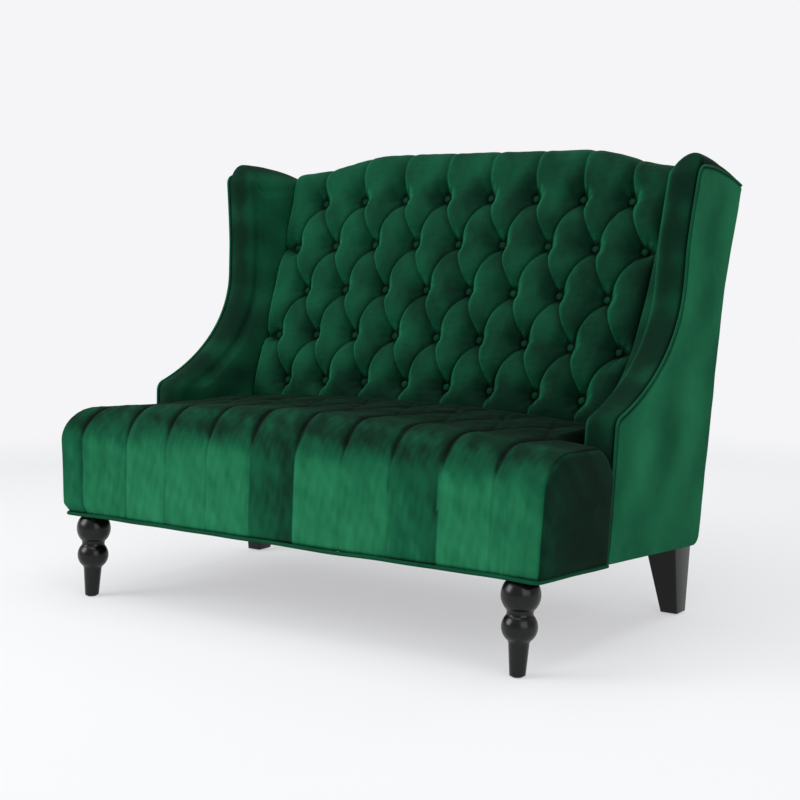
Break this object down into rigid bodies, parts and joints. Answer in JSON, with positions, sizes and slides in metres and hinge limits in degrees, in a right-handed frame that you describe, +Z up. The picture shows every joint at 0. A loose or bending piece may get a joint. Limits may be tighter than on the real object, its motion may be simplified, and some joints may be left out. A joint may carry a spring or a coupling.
{
  "type": "tufted wing-back loveseat",
  "caption": "Low two-seat settee with a diamond-tufted camel back, flowing wings, a tight channelled seat, turned front legs and square raked rear legs.",
  "frame": {"origin": "on the floor, below the middle of the loveseat's overall width and depth", "axes": "+X to the loveseat's right-hand side as one looks at it from the front, +Y to its back, +Z up"},
  "size_m": [1.2864, 0.8666, 1.0176],
  "materials": {
    "velvet": "deep green cut-pile velvet with a soft nap",
    "black_wood": "black satin lacquer",
    "frame_wood": "planed, unfinished hardwood",
    "plywood": "raw plywood",
    "spring_steel": "oiled drawn wire",
    "zinc_steel": "zinc plated",
    "brass": "plain turned brass",
    "jute": "coarse woven jute",
    "dust_cloth": "black spun-bond cloth",
    "glide_plastic": "moulded plastic"
  },
  "bodies": {
    "root": {"seat_pad": "velvet", "back_pad": "velvet", "outside_back_panel": "velvet", "base_welt": "velvet", "left_wing_pad": "velvet", "left_outside_panel": "velvet", "left_arm_welt": "velvet", "left_wing_frame": "plywood", "left_back_post": "frame_wood", "left_side_rail": "frame_wood", "left_back_slat": "frame_wood", "left_front_corner_block": "frame_wood", "left_rear_corner_block": "frame_wood", "left_front_leg": "black_wood", "left_rear_leg": "black_wood", "left_front_leg_bolt": "zinc_steel", "left_front_leg_insert": "brass", "left_front_glide": "glide_plastic", "left_rear_leg_bolt": "zinc_steel", "left_rear_leg_insert": "brass", "left_rear_glide": "glide_plastic", "right_wing_pad": "velvet", "right_outside_panel": "velvet", "right_arm_welt": "velvet", "right_wing_frame": "plywood", "right_back_post": "frame_wood", "right_side_rail": "frame_wood", "right_back_slat": "frame_wood", "right_front_corner_block": "frame_wood", "right_rear_corner_block": "frame_wood", "right_front_leg": "black_wood", "right_rear_leg": "black_wood", "right_front_leg_bolt": "zinc_steel", "right_front_leg_insert": "brass", "right_front_glide": "glide_plastic", "right_rear_leg_bolt": "zinc_steel", "right_rear_leg_insert": "brass", "right_rear_glide": "glide_plastic", "front_rail": "frame_wood", "rear_rail": "frame_wood", "spring_rail": "frame_wood", "back_top_rail": "frame_wood", "rear_top_rail": "frame_wood", "front_spring_clip": "zinc_steel", "rear_spring_clip": "zinc_steel", "seat_spring_1": "spring_steel", "seat_spring_2": "spring_steel", "seat_spring_3": "spring_steel", "seat_spring_4": "spring_steel", "seat_spring_5": "spring_steel", "seat_spring_6": "spring_steel", "seat_deck": "jute", "back_webbing": "jute", "dust_cover": "dust_cloth"}
  },
  "joints": []
}
